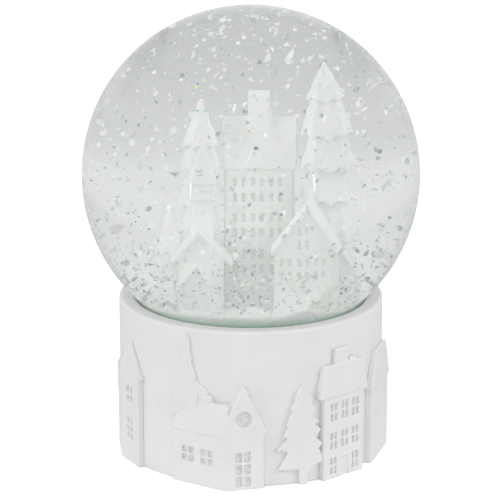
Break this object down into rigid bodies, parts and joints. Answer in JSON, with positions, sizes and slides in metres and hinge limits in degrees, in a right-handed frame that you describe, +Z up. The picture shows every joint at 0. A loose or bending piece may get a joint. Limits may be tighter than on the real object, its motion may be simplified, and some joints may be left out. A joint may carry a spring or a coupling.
{
  "type": "snow globe",
  "caption": "Water-filled glass ball with glitter snow over a miniature white village, standing on a matte white drum base with village houses and firs in relief.",
  "frame": {"origin": "centre of the drum's bottom face, on the ball's vertical axis", "axes": "+Z up through the centre of the ball; -Y is the front, where the corner house stands; +X is to the right seen from the front"},
  "size_m": [0.1, 0.1, 0.1332],
  "materials": {
    "clear_glass": "gloss",
    "clear_liquid": "gloss",
    "iridescent_glitter": "gloss",
    "white_rubber": "matte",
    "silicone": "satin",
    "clear_adhesive": "gloss",
    "white_resin": "matte",
    "white_village_resin": "matte",
    "grey_board": "matte",
    "grey_felt": "matte",
    "silver_glitter": "gloss"
  },
  "bodies": {
    "root": {"base_drum": "white_resin", "bottom_cover": "grey_board", "church": "white_village_resin", "felt_pad": "grey_felt", "gable_house": "white_village_resin", "glass_globe": "clear_glass", "liquid_fill": "clear_liquid", "relief_corner_house": "white_resin", "relief_front_fir": "white_resin", "relief_left_gable_house": "white_resin", "relief_rear_cottage": "white_resin", "relief_rear_fir_left": "white_resin", "relief_rear_fir_middle": "white_resin", "relief_rear_fir_right": "white_resin", "relief_rear_gable_house": "white_resin", "relief_rear_townhouse": "white_resin", "relief_right_house": "white_resin", "relief_tall_fir": "white_resin", "relief_townhouse": "white_resin", "rubber_stopper": "white_rubber", "seat_adhesive": "clear_adhesive", "small_fir_left": "white_village_resin", "small_house": "white_village_resin", "snow_flakes": "iridescent_glitter", "snow_shrubs": "white_village_resin", "stopper_sealant": "silicone", "tall_fir_left": "white_village_resin", "tall_fir_right": "white_village_resin", "townhouse": "white_village_resin", "village_ground": "white_village_resin", "window_glitter": "silver_glitter"}
  },
  "joints": []
}
